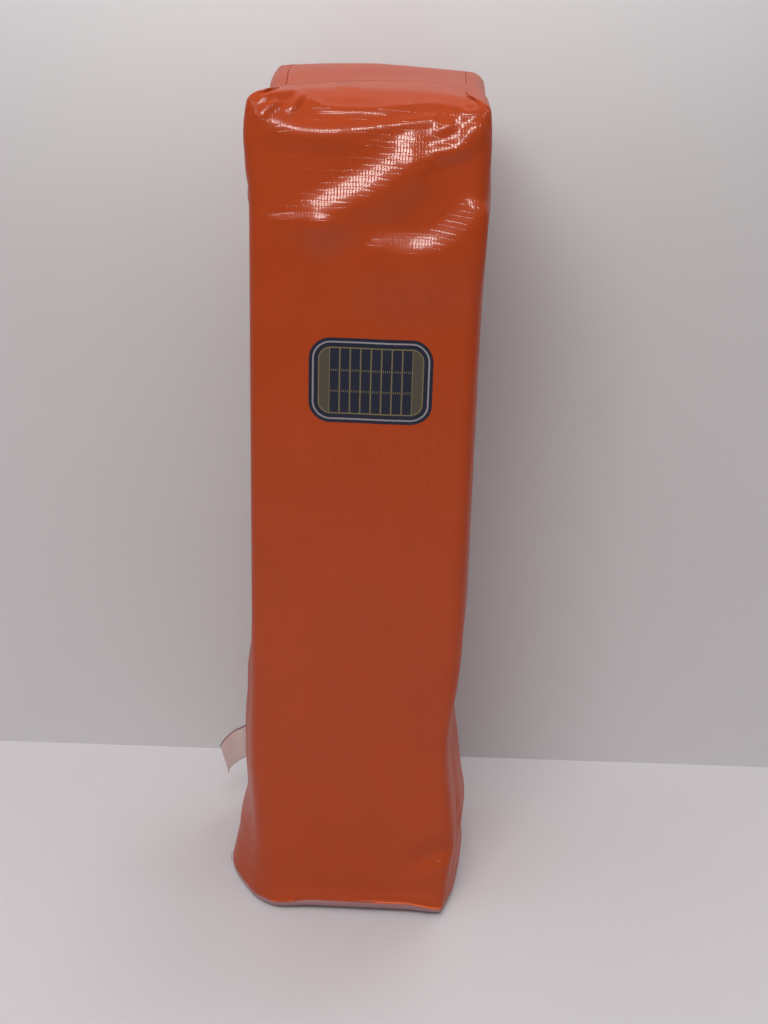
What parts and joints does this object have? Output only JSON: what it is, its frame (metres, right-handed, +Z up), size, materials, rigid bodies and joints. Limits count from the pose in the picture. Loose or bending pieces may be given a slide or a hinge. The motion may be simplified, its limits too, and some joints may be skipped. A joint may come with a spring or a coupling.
{
  "type": "football end zone pylon",
  "caption": "Upright square sports field marker: a sewn, coated orange fabric cover over a foam block, with a ballast pouch in its base and a small ribbon label.",
  "frame": {"origin": "on the ground, under the middle of the square cover, in the plane of the flat base panel", "axes": "+Z up along the pylon's height; -Y out of the plain front face; +X to the right seen from the front; the care label stands out at the rear left"},
  "size_m": [0.1485, 0.1196, 0.4569],
  "materials": {
    "orange_vinyl": "satin",
    "orange_thread": "matte",
    "grey_foam": "matte",
    "pouch_polyester": "matte",
    "white_thread": "matte",
    "dry_sand": "matte",
    "satin_ribbon": "satin"
  },
  "bodies": {
    "cover": {"cover_sleeve": "orange_vinyl", "cover_top_panel": "orange_vinyl", "cover_base_panel": "orange_vinyl", "top_seam_thread": "orange_thread", "base_seam_thread": "orange_thread", "side_seam_thread": "orange_thread", "foam_core": "grey_foam", "pouch_lower_sheet": "pouch_polyester", "pouch_upper_sheet": "pouch_polyester", "pouch_seam_thread": "white_thread", "ballast_sand": "dry_sand"},
    "label": {"care_label": "satin_ribbon"}
  },
  "joints": [
    {"name": "label_swing", "type": "hinge", "parent": "cover", "child": "label", "pos_m": [-0.056, 0.0553, 0.048], "axis": [0, 0, 1], "range_deg": [-90, 20], "stiffness_Nm_per_rad": 0.004}
  ]
}
